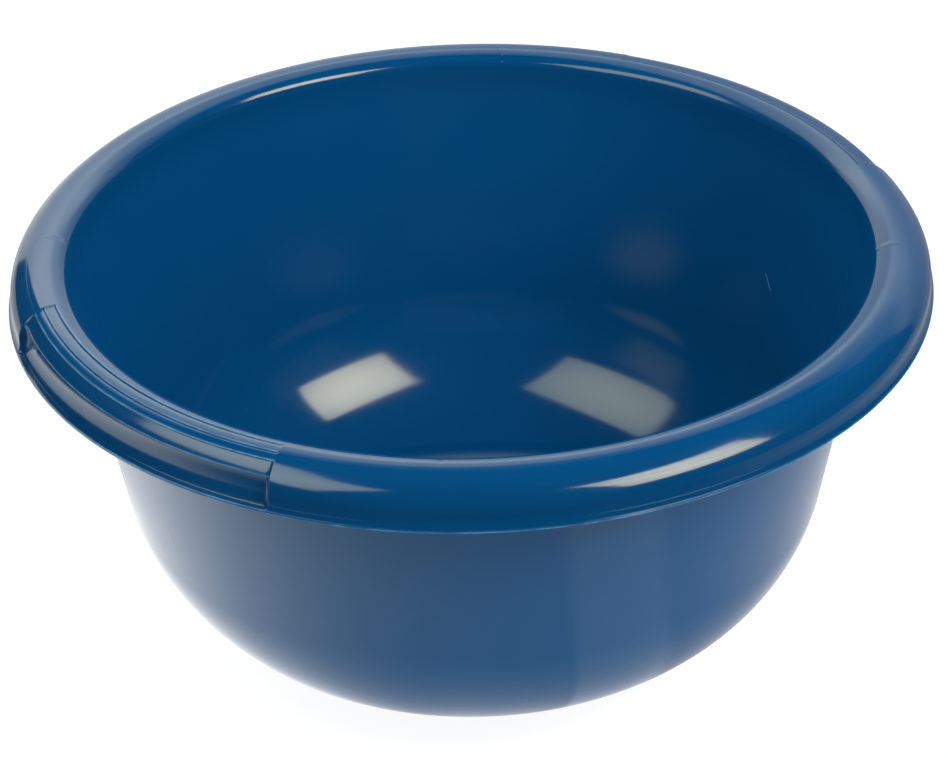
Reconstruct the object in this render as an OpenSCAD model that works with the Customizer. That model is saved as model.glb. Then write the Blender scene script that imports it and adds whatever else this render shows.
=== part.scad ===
// Round washing up bowl, one plastic moulding shown as the regions it is moulded in.
// Origin: centre of the underside. +Z up, the two grips lie on the X axis.

/* [Bowl] */
// Diameter over the lip edge
rim_d = 360; // [300:1:440]
// Height from the foot to the crest of the rim
height = 170; // [130:1:210]
// Lean of the side wall from upright, in degrees
draft = 10.3; // [4:0.1:14]
// Outer radius of the round bottom corner
corner_r = 77.5; // [40:0.5:95]
// Thickness of the side wall
wall = 2; // [1.5:0.1:3]
// Thickness of the floor
floor_t = 2; // [1.5:0.1:3]

/* [Rim] */
// Radial width of the rim, from the mouth to the lip edge
rim_w = 24; // [19:0.5:29]
// Depth of the rim, from its crest to the lip edge
rim_h = 19.2; // [17:0.1:26]
// Thickness of the rim
rim_t = 2; // [1.5:0.1:2.5]
// Small radius that rolls the side wall over into the rim
roll_r = 1.8; // [1:0.1:3]
// How far the lip flares out below the arch of the rim
flare_w = 1.7; // [1:0.1:3]

/* [Grips] */
// Part of the circle that each grip takes up, in degrees
grip_span = 49; // [30:1:70]
// Height of each of the two fine steps on top of a grip
step_h = 0.25; // [0.1:0.05:0.5]
// Depth that the grip's shoulder lies below the line of the arch
shoulder_drop = 1.5; // [0.8:0.1:2.5]
// Depth that the grip's cove lies in from the lip edge, at its foot
ledge_w = 2.4; // [1:0.1:4]
// Depth that the cove bows in between the shoulder and the ledge
cove_bow = 1.4; // [0.5:0.1:2]
// Height of the lip edge under the ledge
lip_edge_h = 1.3; // [0.8:0.1:2.5]

/* [Foot] */
// Outer diameter of the foot ring
foot_d = 156; // [130:1:190]
// Radial width of the foot ring
foot_w = 3; // [2:0.5:6]
// Height of the floor above the ground
foot_h = 2.8; // [1.5:0.1:5]
// Diameter of the moulding mark under the floor
gate_d = 9; // [4:0.5:16]
// Height of the moulding mark
gate_h = 0.8; // [0.3:0.1:1.2]

/* [Rim webs] */
// Thickness of each web under the rim
web_t = 2; // [1.5:0.1:4]
// How far each web runs down the side wall below the arch
web_drop = 4; // [1:0.5:8]

/* [Hidden] */
$fn = 180;
bowl_blue = [0.02, 0.22, 0.43];
ring_blue = [0.02, 0.18, 0.36];
rim_blue = [0.03, 0.28, 0.52];
grip_blue = [0.06, 0.34, 0.58];
web_blue = [0.02, 0.15, 0.32];

// Steps that arcs are drawn in, in degrees
roll_step = 12.5;
fine_step = 6;
corner_step = 3;

// Places round the section of the rim, in degrees from straight up
roll_end = -40;
step_angles = [-4, 14];
step_slope = 1;
shoulder_start = 32;
shoulder_end = 57;

// Depth of the side wall's top edge below the mouth, where the rim piece starts
root_drop = 6;

// Places of the webs round the bowl, midway between the grips
web_angles = [45, 135, 225, 315];

// Mouth, rim arch and lip
mouth_r = rim_d / 2 - rim_w;
arch_r = (rim_w - flare_w - roll_r * (cos(draft) + sin(roll_end))) / (1 - sin(roll_end));
arch_c = [rim_d / 2 - flare_w - arch_r, height - arch_r];
roll_c = arch_c + (arch_r - roll_r) * up_at(roll_end);
mouth_z = roll_c.y + roll_r * sin(draft);
lip_z = height - rim_h;
flare_h = arch_c.y - lip_z;
flare_angle = 2 * atan(flare_w / flare_h);
flare_r = flare_h / sin(flare_angle);
flare_c = [arch_c.x + arch_r + flare_r, arch_c.y];

// Side wall: its skins are straight lines that lean out by the draft
wall_dir = [sin(draft), cos(draft)];
wall_out = [cos(draft), -sin(draft)];
root_in = [mouth_r, mouth_z] - root_drop * wall_dir;
root_out = root_in + wall * wall_out;
outer_offset = root_out * wall_out;

// Round bottom corner, tangent to the side wall and to the floor
corner_z = foot_h + corner_r;
corner_x = (outer_offset - corner_r + corner_z * sin(draft)) / cos(draft);
inner_r = corner_r - wall;
inner_z = foot_h + floor_t + inner_r;
inner_offset = root_in * wall_out;
inner_x = (inner_offset - inner_r + inner_z * sin(draft)) / cos(draft);

// Where the underside of the arch meets the outer skin of the wall
under_start = draft + asin((outer_offset - arch_c * wall_out) / (arch_r - rim_t));
under_end = asin(flare_h / (flare_r + rim_t));
web_span = web_t / mouth_r * 180 / PI;

// Foot ring and floor
foot_r = foot_d / 2;
foot_in_r = foot_r - foot_w;
foot_in_angle = asin(max(0, foot_in_r - corner_x) / corner_r);
foot_angle = asin(max(0, foot_r - corner_x) / corner_r);

// Grip section
grip_r = arch_r - 2 * step_h;
shoulder = arch_c + (arch_r - shoulder_drop) * up_at(shoulder_end);
ledge = [rim_d / 2 - ledge_w, lip_z + lip_edge_h];
cove_run = ledge - shoulder;
cove_r = (cove_run * cove_run / 4 + cove_bow * cove_bow) / (2 * cove_bow);
cove_half = asin(norm(cove_run) / 2 / cove_r);

// Unit vector at an angle from straight up, leaning outwards
function up_at(a) = [sin(a), cos(a)];

// Points on an arc, from one angle to another in about equal steps
function arc(c, r, from, to, step = fine_step) =
    let (n = max(1, ceil(abs(to - from) / step)))
    [for (i = [0 : n]) c + r * up_at(from + (to - from) * i / n)];

// A path moved sideways by t to its right, with mitred corners
function right_of(a, b) = let (d = (b - a) / norm(b - a)) [d.y, -d.x];
function mitre(a, b) = (a + b) / (1 + a * b);
function moved_path(pts, t) = [
    for (i = [0 : len(pts) - 1])
        let (before = right_of(pts[max(i, 1) - 1], pts[max(i, 1)]))
        let (j = min(i, len(pts) - 2))
        let (after = right_of(pts[j], pts[j + 1]))
        pts[i] + t * mitre(before, after)
];

// Underside of the floor and corner at a radius
function under_z(r) = r <= corner_x
    ? foot_h
    : corner_z - sqrt(pow(corner_r, 2) - pow(r - corner_x, 2));
function foot_top() = [
    for (i = [0 : 3])
        let (r = foot_in_r + foot_w * i / 3)
        [r, under_z(r)]
];
function floor_under() = concat(
    foot_in_r > corner_x
        ? arc([corner_x, corner_z], corner_r, 180, 180 - foot_in_angle, corner_step)
        : [[foot_in_r, foot_h]],
    [for (i = [1 : 3]) foot_top()[i]],
    foot_r < corner_x ? [[corner_x, foot_h]] : []
);

// Skins of the rim
function roll() = arc(roll_c, roll_r, draft - 90, roll_end, roll_step);
function rim_top() = concat(
    roll(),
    arc(arch_c, arch_r, roll_end + fine_step, 0),
    arc(arch_c, arch_r, fine_step, 90),
    arc(flare_c, -flare_r, 90 - flare_angle / 3, 90 - flare_angle)
);
function flare_under() = arc(flare_c, -(flare_r + rim_t), 90 - under_end, 90);
function rim_under() = arc(arch_c, arch_r - rim_t, 90 - fine_step, under_start);

// Top of a grip, from its inner edge down to its shoulder and cove
function grip_shoulder(from) = concat(
    arc(arch_c, arch_r, from, step_angles[0]),
    arc(arch_c, arch_r - step_h, step_angles[0] + step_slope, step_angles[1]),
    arc(arch_c, grip_r, step_angles[1] + step_slope, shoulder_start),
    [shoulder]
);
function cove() =
    let (mid = (shoulder + ledge) / 2)
    let (out = right_of(ledge, shoulder))
    let (c = mid + (cove_r - cove_bow) * out)
    let (facing = atan2(-out.x, -out.y))
    [for (i = [1 : 6]) c + cove_r * up_at(facing + cove_half * (1 - i / 3))];
function grip_under() = moved_path(concat(grip_shoulder(under_start), cove()), rim_t);

// Outer skin of the side wall at a height
function wall_skin(z) = [root_out.x + (z - root_out.y) * tan(draft), z];

module ring_piece(centre, span) {
    rotate_extrude(angle = span, start = centre - span / 2) children();
}

module side_wall() {
    color(bowl_blue)
    rotate_extrude()
    polygon([
        [corner_x, corner_z] + corner_r * wall_out,
        root_out,
        root_in,
        [inner_x, inner_z] + inner_r * wall_out
    ]);
}

module bottom_curve() {
    color(bowl_blue)
    rotate_extrude()
    polygon(concat(
        arc([corner_x, corner_z], corner_r, 180 - foot_angle, 90 + draft, corner_step),
        arc([inner_x, inner_z], inner_r, 90 + draft, 180 - foot_angle, corner_step)
    ));
}

module bowl_floor() {
    color(bowl_blue)
    rotate_extrude()
    polygon(concat(
        [[0, foot_h + floor_t], [0, foot_h - gate_h]],
        [[gate_d / 2, foot_h - gate_h], [gate_d / 2, foot_h]],
        floor_under(),
        arc([inner_x, inner_z], inner_r, 180 - foot_angle, 180, corner_step)
    ));
}

module foot_ring() {
    color(ring_blue)
    rotate_extrude()
    polygon(concat([[foot_r, 0], [foot_in_r, 0]], foot_top()));
}

module plain_rim(centre) {
    color(rim_blue)
    ring_piece(centre, 180 - grip_span)
    polygon(concat([root_in], rim_top(), flare_under(), rim_under(), [root_out]));
}

module grip(centre) {
    under = grip_under();
    foot = under[len(under) - 1];
    color(grip_blue)
    ring_piece(centre, grip_span)
    polygon(concat(
        [root_in],
        roll(),
        grip_shoulder(roll_end + fine_step),
        cove(),
        [[rim_d / 2, ledge.y], [rim_d / 2, lip_z], [foot.x, lip_z]],
        [for (i = [len(under) - 1 : -1 : 0]) under[i]],
        [root_out]
    ));
}

module front_rim() {
    plain_rim(-90);
}

module back_rim() {
    plain_rim(90);
}

module left_grip() {
    grip(180);
}

module right_grip() {
    grip(0);
}

module rim_webs() {
    color(web_blue)
    for (a = web_angles)
        ring_piece(a, web_span)
        polygon(concat(
            [wall_skin(arch_c.y - web_drop), arch_c + [arch_r - rim_t, 0]],
            rim_under()
        ));
}

side_wall();
bottom_curve();
bowl_floor();
foot_ring();
front_rim();
back_rim();
left_grip();
right_grip();
rim_webs();
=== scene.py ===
import math
from functools import partial

import bpy
import numpy as np
from mathutils import Matrix, Quaternion, Vector


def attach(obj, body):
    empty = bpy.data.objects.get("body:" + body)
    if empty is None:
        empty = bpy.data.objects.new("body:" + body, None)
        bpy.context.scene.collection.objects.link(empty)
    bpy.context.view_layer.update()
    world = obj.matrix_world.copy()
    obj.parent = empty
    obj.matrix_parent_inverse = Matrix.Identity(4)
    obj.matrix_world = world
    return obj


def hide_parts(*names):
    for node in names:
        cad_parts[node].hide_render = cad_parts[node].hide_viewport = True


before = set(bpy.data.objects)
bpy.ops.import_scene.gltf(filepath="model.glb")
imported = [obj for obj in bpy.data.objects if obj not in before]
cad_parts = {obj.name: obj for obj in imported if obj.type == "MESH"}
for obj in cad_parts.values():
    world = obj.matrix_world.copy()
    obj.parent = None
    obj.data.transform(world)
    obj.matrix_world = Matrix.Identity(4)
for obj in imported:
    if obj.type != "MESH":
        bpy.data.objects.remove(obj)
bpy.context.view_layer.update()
print("frame loaded, nodes:", ", ".join(sorted(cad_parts)))

mm = 0.001
pointGap = 0.05        # mm between the points that the section is first drawn with
quarter = math.pi / 2

# sizes of the moulding in millimetres, as it is constructed
bowl = {
    "rimDiameter": 360.0,
    "height": 170.0,
    "draft": math.radians(10.3),
    "cornerRadius": 77.5,
    "wall": 2.0,
    "floorThickness": 2.0,
    "footHeight": 2.8,
    "footRadius": 78.0,
    "footWidth": 3.0,
    "gateRadius": 4.5,
    "gateHeight": 0.8,
    "rimWidth": 24.0,
    "rimHeight": 19.2,
    "rimThickness": 2.0,
    "rollRadius": 1.8,
    "rollEnd": math.radians(-40),
    "flareWidth": 1.7,
    "flareFade": 1.3,
    "rootDrop": 6.0,
    "soften": 0.12,        # how far edges are rounded off, as the width of a blur along the section
    "softenMouth": 1.8,
    "softenLip": 0.3,
    "softenUnder": 0.45,
    "turnPerRow": 5.0,     # degrees that the section may turn from one row of the mesh to the next
    "lengthPerRow": 11.0,
    # the arch isn't quite round: degrees round it, and how far out it lies there
    "archShape": (
        (-40, 0.0), (0, 0.0), (20, -0.1), (42, -0.38), (62, 0.0), (80, 0.36), (90, 0.3)),
    # and how many degrees its gloss leans back
    "archLean": (
        (-45, 0.0), (8, 0.0), (26, 2.2), (45, 4.6), (64, 4.8), (80, 3.6), (92, 4.5), (102, 7.0),
        (125, 7.0)),
}

grip = {
    "span": 49.0,          # degrees round the bowl
    "steps": (math.radians(-7), math.radians(13)),
    "stepHeight": 0.6,
    "stepDepths": (0.6, 0.75, 0.85),   # the foot of each step, and where the shoulder starts
    "stepSlope": math.radians(1.4),
    "treadRise": 0.42,     # how far each step comes back up to the line of the arch
    "kerbRise": 0.3,       # most of it close to the foot of the step
    "kerbSpan": math.radians(2.2),
    "shoulderStart": math.radians(32),
    "shoulderEnd": math.radians(57),
    "shoulderDrop": 1.15,
    "shoulderBow": 0.2,
    "ledgeWidth": 2.4,
    "coveBow": 1.4,
    "lipEdgeHeight": 1.3,
    "ramp": 0.83,          # degrees over which the plain rim runs down into the grip
    "rampSharpness": 2.2,
    "rampEdge": 0.05,
}


def upAt(angle):
    return np.array([math.sin(angle), math.cos(angle)])


def unit(vectors):
    return vectors / np.linalg.norm(vectors, axis=-1, keepdims=True)


def arcOf(centre, radius, start, end, count):
    angles = np.linspace(start, end, max(2, count))
    return np.asarray(centre) + radius * np.stack([np.sin(angles), np.cos(angles)], -1)


def arcPoints(centre, radius, start, end, spacing=pointGap):
    return arcOf(centre, radius, start, end, int(abs(radius * (end - start)) / spacing) + 1)


def coarseArc(centre, radius, start, end, step=math.radians(6)):
    return arcOf(centre, radius, start, end, math.ceil(abs(end - start) / step) + 1)


def linePoints(start, end, spacing=pointGap):
    start, end = np.asarray(start, float), np.asarray(end, float)
    count = max(2, int(np.linalg.norm(end - start) / spacing) + 1)
    return start + (end - start) * np.linspace(0, 1, count)[:, None]


# Lines joined end to end, with the point where two meet kept once
def joined(*pieces):
    out = [pieces[0]]
    for piece in pieces[1:]:
        meet = np.linalg.norm(piece[0] - out[-1][-1]) < 1e-6
        out.append(piece[1:] if meet else piece)
    return np.concatenate(out)


def pathThrough(points):
    return joined(*[linePoints(a, b) for a, b in zip(points[:-1], points[1:])])


# Sideways to the right, with mitred corners
def offsetPath(points, distance):
    step = unit(np.diff(points, axis=0))
    right = np.stack([step[:, 1], -step[:, 0]], -1)
    before, after = np.vstack([right[:1], right]), np.vstack([right, right[-1:]])
    return points + distance * (before + after) / (1 + np.sum(before * after, -1))[:, None]


# A smooth line through a few values, each given with its place
def smoothThrough(pairs, at):
    places, values = np.array(pairs, float).T
    slopes = np.gradient(values, places)
    slopes[0] = 0
    k = np.clip(np.searchsorted(places, at) - 1, 0, len(places) - 2)
    run = places[k + 1] - places[k]
    t = np.clip((at - places[k]) / run, 0, 1)
    return ((1 + 2 * t) * (1 - t) ** 2 * values[k] + t * (1 - t) ** 2 * run * slopes[k]
            + t * t * (3 - 2 * t) * values[k + 1] + t * t * (t - 1) * run * slopes[k + 1])


# places that the section is drawn from
draft, rollEnd = bowl["draft"], bowl["rollEnd"]
rollR, rimT = bowl["rollRadius"], bowl["rimThickness"]
outerR = bowl["rimDiameter"] / 2
mouthR = outerR - bowl["rimWidth"]
archWidth = bowl["rimWidth"] - bowl["flareWidth"]
archR = (archWidth - rollR * (math.cos(draft) + math.sin(rollEnd))) / (1 - math.sin(rollEnd))
archC = np.array([outerR - bowl["flareWidth"] - archR, bowl["height"] - archR])
rollC = archC + (archR - rollR) * upAt(rollEnd)
mouthZ = rollC[1] + rollR * math.sin(draft)
lipZ = bowl["height"] - bowl["rimHeight"]
flareH = archC[1] - lipZ
flareAngle = 2 * math.atan(bowl["flareWidth"] / flareH)
flareR = flareH / math.sin(flareAngle)
flareC = np.array([archC[0] + archR + flareR, archC[1]])
wallOut = np.array([math.cos(draft), -math.sin(draft)])
rootIn = np.array([mouthR, mouthZ]) - bowl["rootDrop"] * upAt(draft)
rootOut = rootIn + bowl["wall"] * wallOut
cornerR = bowl["cornerRadius"]
cornerZ = bowl["footHeight"] + cornerR
cornerX = (rootOut @ wallOut - cornerR + cornerZ * math.sin(draft)) / math.cos(draft)
cornerC = np.array([cornerX, cornerZ])
innerR = cornerR - bowl["wall"]
footAngle = math.asin((bowl["footRadius"] - cornerX) / cornerR)
underR = archR - rimT
underStart = draft + math.asin((rootOut @ wallOut - archC @ wallOut) / underR)
underEnd = math.asin(flareH / (flareR + rimT))
gripR = archR - 2 * grip["stepHeight"]
shoulder = archC + (archR - grip["shoulderDrop"]) * upAt(grip["shoulderEnd"])
ledge = np.array([outerR - grip["ledgeWidth"], lipZ + grip["lipEdgeHeight"]])


def coveArc(arc):
    run, bow = ledge - shoulder, grip["coveBow"]
    out = unit(np.array([-run[1], run[0]]))
    radius = (run @ run / 4 + bow ** 2) / (2 * bow)
    centre = (shoulder + ledge) / 2 + (radius - bow) * out
    half = math.asin(np.linalg.norm(run) / 2 / radius)
    facing = math.atan2(-out[0], -out[1])
    return arc(centre, radius, facing + half, facing - half)


def insideStretches():
    floorZ = bowl["footHeight"] + bowl["floorThickness"]
    return [
        linePoints((0, floorZ), (cornerX, floorZ)),
        arcPoints(cornerC, innerR, math.pi, math.pi - footAngle),
        arcPoints(cornerC, innerR, math.pi - footAngle, quarter + draft),
        linePoints(cornerC + innerR * upAt(quarter + draft), rootIn),
        linePoints(rootIn, (mouthR, mouthZ)),
        arcPoints(rollC, rollR, draft - quarter, rollEnd),
    ]


def outsideStretches():
    under, gateR = bowl["footHeight"], bowl["gateRadius"]
    gateZ = under - bowl["gateHeight"]
    return [
        linePoints(archC + underR * upAt(underStart), rootOut),
        linePoints(rootOut, cornerC + cornerR * upAt(quarter + draft)),
        arcPoints(cornerC, cornerR, quarter + draft, math.pi - footAngle),
        joined(
            arcPoints(cornerC, cornerR, math.pi - footAngle, math.pi),
            pathThrough([(cornerX, under), (gateR, under), (gateR, gateZ), (0, gateZ)]),
        ),
    ]


def shapedArch(start, end):
    points = arcPoints(archC, archR, start, end)
    lift = smoothThrough(bowl["archShape"], np.degrees(np.linspace(start, end, len(points))))
    return points + (points - archC) / archR * lift[:, None]


def plainRim():
    flare = arcPoints(flareC, -flareR, quarter, quarter - flareAngle)
    flare[:, 0] += bowl["archShape"][-1][1] * np.linspace(1, 0, len(flare)) ** bowl["flareFade"]
    return [
        shapedArch(rollEnd, grip["shoulderStart"]),
        shapedArch(grip["shoulderStart"], grip["shoulderEnd"]),
        joined(shapedArch(grip["shoulderEnd"], quarter), flare),
        linePoints((outerR, lipZ), flareC - (flareR + rimT) * upAt(quarter - underEnd)),
        joined(
            arcPoints(flareC, -(flareR + rimT), quarter - underEnd, quarter),
            arcPoints(archC, underR, quarter, underStart),
        ),
    ]


# A line that stands out by a small height in its middle
def bowed(start, end, height):
    points = linePoints(start, end)
    share = np.linspace(-1, 1, len(points))[:, None]
    run = unit(points[-1] - points[0])
    return points + np.array([-run[1], run[0]]) * height * (1 - share ** 2)


# A stretch of arch that drifts outwards as it goes round
def tread(start, end, low, high):
    points = arcPoints(archC, archR, start, end)
    drift = np.linspace(low, high, len(points))[:, None]
    return archC + (points - archC) * (1 + drift / archR)


def gripRim():
    first, second = grip["steps"]
    slope, kerbRise = grip["stepSlope"], grip["kerbRise"]
    third = grip["shoulderStart"] - slope
    top = arcPoints(archC, archR, rollEnd, first)
    for start, end, depth in zip((first, second, third), (second, third, None), grip["stepDepths"]):
        foot = archC + (archR - depth) * upAt(start + slope)
        top = joined(top, linePoints(top[-1], foot))
        if end is not None:
            kerb = start + slope + grip["kerbSpan"]
            top = joined(
                top,
                linePoints(foot, archC + (archR - depth + kerbRise) * upAt(kerb)),
                tread(kerb, end, kerbRise - depth, grip["treadRise"] - depth),
            )
    coarse = np.vstack([
        coarseArc(archC, archR, underStart, first),
        coarseArc(archC, archR - grip["stepHeight"] / 2, first + slope, second),
        coarseArc(archC, gripR, second + slope, grip["shoulderStart"]),
        [shoulder],
        coveArc(coarseArc)[1:],
    ])
    under = offsetPath(coarse, rimT)[::-1]
    lipIn = (under[0][0], lipZ)
    return [
        top,
        bowed(top[-1], shoulder, grip["shoulderBow"]),
        joined(coveArc(arcPoints), pathThrough([ledge, (outerR, ledge[1]), (outerR, lipZ)])),
        linePoints((outerR, lipZ), lipIn),
        pathThrough([lipIn, *under]),
    ]


# Rounds off the corners of a closely drawn line, with its two ends kept
def blurred(points, width):
    spacing = np.median(np.linalg.norm(np.diff(points, axis=0), axis=1))
    reach = int(4 * width / spacing)
    weights = np.exp(-0.5 * (np.arange(-reach, reach + 1) * spacing / width) ** 2)
    weights /= weights.sum()
    head = 2 * points[0] - points[reach:0:-1]
    tail = 2 * points[-1] - points[-2:-reach - 2:-1]
    padded = np.vstack([head, points, tail])
    return np.stack([np.convolve(padded[:, k], weights, "valid") for k in (0, 1)], -1)


# the stretches, from the centre of the floor over the rim to the centre of the underside
stretchNames = (
    "floor", "floorCorner", "bottomCurve", "sideWall", "wallTop", "roll", "arch", "shoulder",
    "outerFace", "lipEdge", "rimUnderside", "rootOutside", "wallOutside", "curveOutside",
    "floorOutside", "end",
)


# The whole section, and where its stretches start
def sectionOf(rim):
    stretches = insideStretches() + rim + outsideStretches()
    marks = np.cumsum([0] + [len(stretch) - 1 for stretch in stretches])
    points = joined(*stretches)
    place = np.arange(len(points)) * pointGap
    at = dict(zip(stretchNames, marks * pointGap))

    def between(first, last, over):
        comes, goes = (place - first) / over, (last - place) / over
        return (np.clip(comes, 0, 1) * np.clip(goes, 0, 1))[:, None]

    mouth = between(at["wallTop"] + 1.0, at["arch"] + 6.5, 3.0)
    out = blurred(points, bowl["soften"])
    for key, share in (
        ("softenMouth", mouth ** 2 * (3 - 2 * mouth)),
        ("softenLip", between(at["lipEdge"] - 2.0, at["rimUnderside"] + 2.0, 1.5)),
        ("softenUnder", between(at["rimUnderside"] + 2.0, place[-1] + 3.0, 3.0)),
    ):
        out = out + (blurred(points, bowl[key]) - out) * share
    out[0, 0] = out[-1, 0] = 0
    return out, marks


# Both sections drawn with as many points between the same two places
def alignedSections():
    sections = [sectionOf(plainRim()), sectionOf(gripRim())]
    drawn, marks = ([], []), [0]
    for k in range(len(stretchNames) - 1):
        pieces = [points[ends[k]:ends[k + 1] + 1] for points, ends in sections]
        share = np.linspace(0, 1, max(len(piece) for piece in pieces))
        for piece, out in zip(pieces, drawn):
            own = np.linspace(0, 1, len(piece))
            even = np.stack([np.interp(share, own, piece[:, j]) for j in (0, 1)], -1)
            out.append(even if k == 0 else even[1:])
        marks.append(marks[-1] + len(share) - 1)
    return np.concatenate(drawn[0]), np.concatenate(drawn[1]), marks


# Rows of the mesh: close where either section turns, far apart where both are straight
def stationsOf(a, b, marks):
    work = np.zeros(len(a))
    for points in (a, b):
        step = np.gradient(points, axis=0)
        angle = np.unwrap(np.arctan2(step[:, 1], step[:, 0]))
        work[1:] += np.degrees(np.abs(np.diff(angle))) / bowl["turnPerRow"]
    work[1:] += np.linalg.norm(np.diff(b, axis=0), axis=1) / bowl["lengthPerRow"]
    total = np.cumsum(work)
    rows, rowMarks = [0], [0]
    for start, end in zip(marks[:-1], marks[1:]):
        count = max(1, math.ceil(total[end] - total[start]))
        wanted = np.linspace(total[start], total[end], count + 1)[1:]
        found = np.interp(wanted, total[start:end + 1], np.arange(start, end + 1))
        rows += [int(row) for row in found.round()]
        rowMarks.append(len(rows) - 1)
    return np.array(rows), rowMarks


plainLine, gripLine, lineMarks = alignedSections()
stationRows, stationMarks = stationsOf(plainLine, gripLine, lineMarks)
rowAt = dict(zip(stretchNames, stationMarks))
plainSection, gripSection = plainLine[stationRows], gripLine[stationRows]
plainSpeed, gripSpeed = (np.gradient(line, axis=0)[stationRows] for line in (plainLine, gripLine))
print("section drawn:", len(stationRows), "rows")


sinkMarks = {
    "angles": (-135.8, -47.6, 43.0, 136.7),   # degrees round the bowl
    "radius": 159.6,
    "length": 3.0,
    "width": 0.8,
    "depth": 0.2,
}

# degrees between the columns of the mesh
spokeGaps = {
    "plain": 1.0,
    "ramp": 0.06,
    "rampMargin": 0.24,
    "mark": 0.2,
    "markReach": 1.5,
    "least": 0.03,
}


# Columns of the mesh in degrees, close together where a grip starts or ends and at the sink marks
def spokeAngles():
    out = [np.arange(0, 360, spokeGaps["plain"])]
    gap, margin = spokeGaps["ramp"], spokeGaps["rampMargin"]
    inwards = grip["span"] / 2 - np.arange(-margin, grip["ramp"] + margin + gap, gap)
    out += [(centre + side * inwards) % 360 for centre in (0, 180) for side in (-1, 1)]
    gap, reach = spokeGaps["mark"], spokeGaps["markReach"]
    near = np.arange(-reach, reach + gap / 2, gap)
    out += [(angle + near) % 360 for angle in sinkMarks["angles"]]
    out = sorted(set(np.round(np.concatenate(out), 4)))
    return np.array([a for a, b in zip(out, out[1:] + [360.0]) if b - a > spokeGaps["least"]])


# How much of the grip's section a spoke has, 0 on the plain rim
def gripShare(angle):
    near = np.abs((np.asarray(angle) + 90) % 180 - 90)   # degrees from the nearest grip's middle
    t = (grip["span"] / 2 - near) / grip["ramp"]
    t = (t + np.sqrt(t * t + grip["rampEdge"] ** 2)) / 2
    return 1 - (1 - np.clip(t, 0, 1)) ** grip["rampSharpness"]


# A node with its inputs, each a value or another node's socket
def addNode(tree, kind, inputs=None, **settings):
    node = tree.nodes.new(kind)
    for key, value in settings.items():
        setattr(node, key, value)
    for key, value in (inputs or {}).items():
        if isinstance(value, bpy.types.NodeSocket):
            tree.links.new(value, node.inputs[key])
        else:
            node.inputs[key].default_value = value
    return node


def mathNode(tree, operation, *values):
    return addNode(tree, "ShaderNodeMath", dict(enumerate(values)), operation=operation).outputs[0]


# A node group. An input is given by its value, or by its kind where it has none
def nodeGroup(treeKind, name, inputs, outputs):
    tree = bpy.data.node_groups.new(name, treeKind)
    for key, value in inputs.items():
        kind = value if isinstance(value, str) else type(value).__name__.title()
        socket = tree.interface.new_socket(
            name=key, in_out="INPUT", socket_type="NodeSocket" + kind)
        if not isinstance(value, str):
            socket.default_value = value
    for key, kind in outputs.items():
        tree.interface.new_socket(name=key, in_out="OUTPUT", socket_type="NodeSocket" + kind)
    return tree, addNode(tree, "NodeGroupInput").outputs, addNode(tree, "NodeGroupOutput").inputs


# Both trees end alike: instances made real, and the plastic put on
def endTree(tree, shape, plasticSocket, out):
    real = addNode(tree, "GeometryNodeRealizeInstances", {0: shape}).outputs[0]
    inputs = {"Geometry": real, "Material": plasticSocket}
    tree.links.new(addNode(tree, "GeometryNodeSetMaterial", inputs).outputs[0], out["Geometry"])
    return tree


# Turns a section about Z. Two sections are mixed by how far a spoke lies inside a grip
def turnedTree():
    tree, given, out = nodeGroup("GeometryNodeTree", "turnedSection", {
        "Geometry": "Geometry", "Spokes": "Object", "Rows": 2, "Columns": 3, "Plastic": "Material",
    }, {"Geometry": "Geometry"})
    index = addNode(tree, "GeometryNodeInputIndex").outputs[0]
    row = mathNode(tree, "FLOOR", mathNode(tree, "DIVIDE", index, given["Columns"]))
    past = mathNode(tree, "MULTIPLY", row, given["Columns"])
    column = mathNode(tree, "SUBTRACT", index, past)

    def sampled(source, name, kind, at):
        named = addNode(tree, "GeometryNodeInputNamedAttribute", {"Name": name}, data_type=kind)
        inputs = {"Geometry": source, "Value": named.outputs["Attribute"], "Index": at}
        sample = addNode(tree, "GeometryNodeSampleIndex", inputs, data_type=kind, domain="POINT")
        return sample.outputs["Value"]

    lines = given["Geometry"]
    plain, grips = (
        sampled(lines, name, "FLOAT_VECTOR", row) for name in ("plainPlace", "gripPlace"))
    spokes = addNode(tree, "GeometryNodeObjectInfo", {"Object": given["Spokes"]})
    spokes = spokes.outputs["Geometry"]
    turn, share = (sampled(spokes, name, "FLOAT", column) for name in ("turn", "gripShare"))
    mix = addNode(tree, "ShaderNodeMix", {"Factor": share, 4: plain, 5: grips}, data_type="VECTOR")
    inputs = {"Vector": mix.outputs[1], "Angle": mathNode(tree, "RADIANS", turn)}
    rotate = addNode(tree, "ShaderNodeVectorRotate", inputs, rotation_type="Z_AXIS")
    inputs = {"Vertices X": given["Rows"], "Vertices Y": given["Columns"]}
    net = addNode(tree, "GeometryNodeMeshGrid", inputs).outputs["Mesh"]
    inputs = {"Geometry": net, "Position": rotate.outputs[0]}
    shape = addNode(tree, "GeometryNodeSetPosition", inputs).outputs["Geometry"]
    return endTree(tree, shape, given["Plastic"], out)


def addObject(name, data):
    made = bpy.data.objects.new(name, data)
    bpy.context.scene.collection.objects.link(made)
    return made


def pointsObject(name, **attributes):
    mesh = bpy.data.meshes.new(name)
    mesh.vertices.add(len(next(iter(attributes.values()))))
    for key, values in attributes.items():
        values = np.asarray(values, np.float32)
        kind, field = ("FLOAT_VECTOR", "vector") if values.ndim == 2 else ("FLOAT", "value")
        mesh.attributes.new(key, kind, "POINT").data.foreach_set(field, values.ravel())
    return addObject(name, mesh)


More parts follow.
